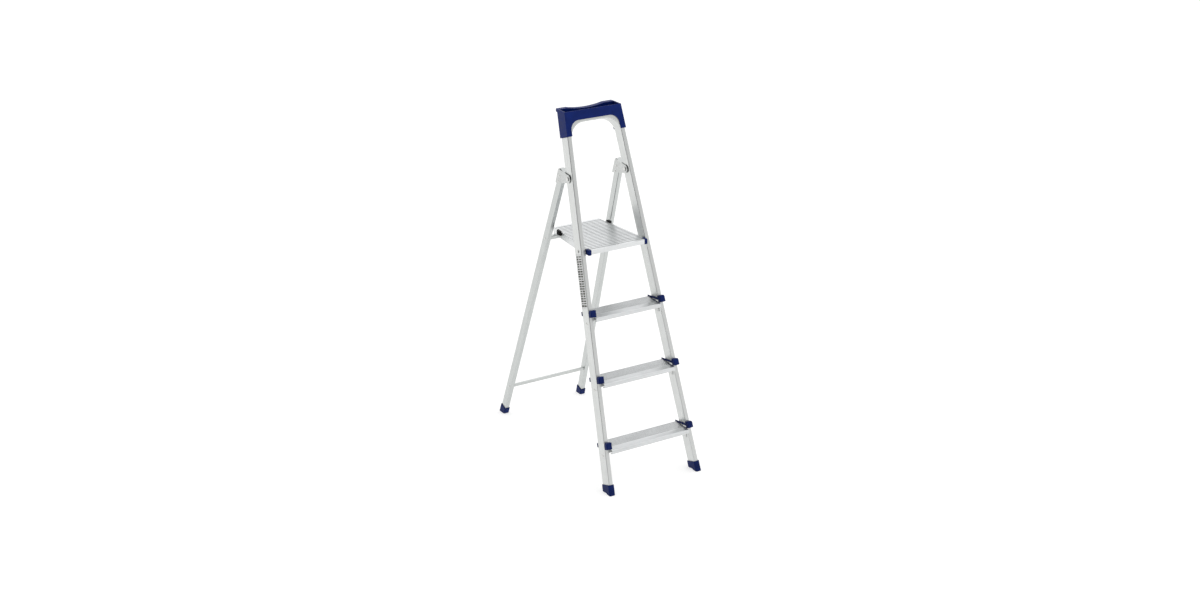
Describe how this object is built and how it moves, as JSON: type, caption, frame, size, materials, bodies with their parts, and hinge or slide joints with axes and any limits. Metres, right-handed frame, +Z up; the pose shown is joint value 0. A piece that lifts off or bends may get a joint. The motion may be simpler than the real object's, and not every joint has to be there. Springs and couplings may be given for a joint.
{
  "type": "step ladder",
  "caption": "Folding platform step ladder with box-tube stiles, blue-clamped treads, a ribbed platform, a hoop handrail with a tool-tray cap and hinged rear legs.",
  "frame": {"origin": "on the floor, at the middle of the ladder's bounding box", "axes": "+Z up; +X to the right of a person facing the treads; +Y from the treads towards the rear legs"},
  "size_m": [0.405, 0.8682, 1.328],
  "materials": {
    "tube_aluminium": "satin mill finish",
    "tread_aluminium": "extruded, ribbed, satin",
    "deck_aluminium": "extruded, ribbed, bright satin",
    "pressed_aluminium": "pressed sheet, satin",
    "rivet_metal": "polished by the setting tool",
    "blue_plastic": "moulded, slightly glossy",
    "black_plastic": "moulded, satin",
    "label_film": "printed film, satin"
  },
  "bodies": {
    "front_frame": {"stile_left": "tube_aluminium", "stile_right": "tube_aluminium", "hoop_bend_left": "tube_aluminium", "hoop_bend_right": "tube_aluminium", "hoop_rail": "tube_aluminium", "hoop_spigots": "black_plastic", "front_foot_left": "blue_plastic", "front_foot_right": "blue_plastic", "top_cap": "blue_plastic", "cap_screws": "rivet_metal", "stile_label": "label_film", "tread_1": "tread_aluminium", "tread_2": "tread_aluminium", "tread_3": "tread_aluminium", "clamp_1_left": "blue_plastic", "clamp_1_right": "blue_plastic", "clamp_2_left": "blue_plastic", "clamp_2_right": "blue_plastic", "clamp_3_left": "blue_plastic", "clamp_3_right": "blue_plastic", "cleat_1_left": "pressed_aluminium", "cleat_1_right": "pressed_aluminium", "cleat_2_left": "pressed_aluminium", "cleat_2_right": "pressed_aluminium", "cleat_3_left": "pressed_aluminium", "cleat_3_right": "pressed_aluminium", "tread_rivets": "rivet_metal", "hinge_pin_left": "rivet_metal", "hinge_pin_right": "rivet_metal", "hinge_washers": "black_plastic", "pivot_pin_left": "rivet_metal", "pivot_pin_right": "rivet_metal", "pivot_washers": "black_plastic"},
    "rear_frame": {"leg_left": "tube_aluminium", "leg_right": "tube_aluminium", "rear_foot_left": "blue_plastic", "rear_foot_right": "blue_plastic", "hinge_bracket_left": "pressed_aluminium", "hinge_bracket_right": "pressed_aluminium", "bracket_rivets": "rivet_metal", "rear_crossbar": "tube_aluminium", "crossbar_rivets": "rivet_metal", "latch_bar": "tube_aluminium", "latch_rivets": "rivet_metal"},
    "platform": {"deck": "deck_aluminium", "deck_rail_left": "deck_aluminium", "deck_rail_right": "deck_aluminium", "rail_rivets": "rivet_metal", "deck_cap_left": "blue_plastic", "deck_cap_right": "blue_plastic", "latch_hook_left": "black_plastic", "latch_hook_right": "black_plastic", "hook_rivets": "rivet_metal"}
  },
  "joints": [
    {"name": "rear_fold", "type": "hinge", "parent": "front_frame", "child": "rear_frame", "pos_m": [0, -0.03029, 1.092], "axis": [-1, 0, 0], "range_deg": [0, 36]},
    {"name": "platform_fold", "type": "hinge", "parent": "front_frame", "child": "platform", "pos_m": [0, -0.11995, 0.843], "axis": [1, 0, 0], "range_deg": [0, 70.2]}
  ],
  "couplings": [
    {"joint": "platform_fold", "follows": "rear_fold", "ratio": 1.95}
  ]
}
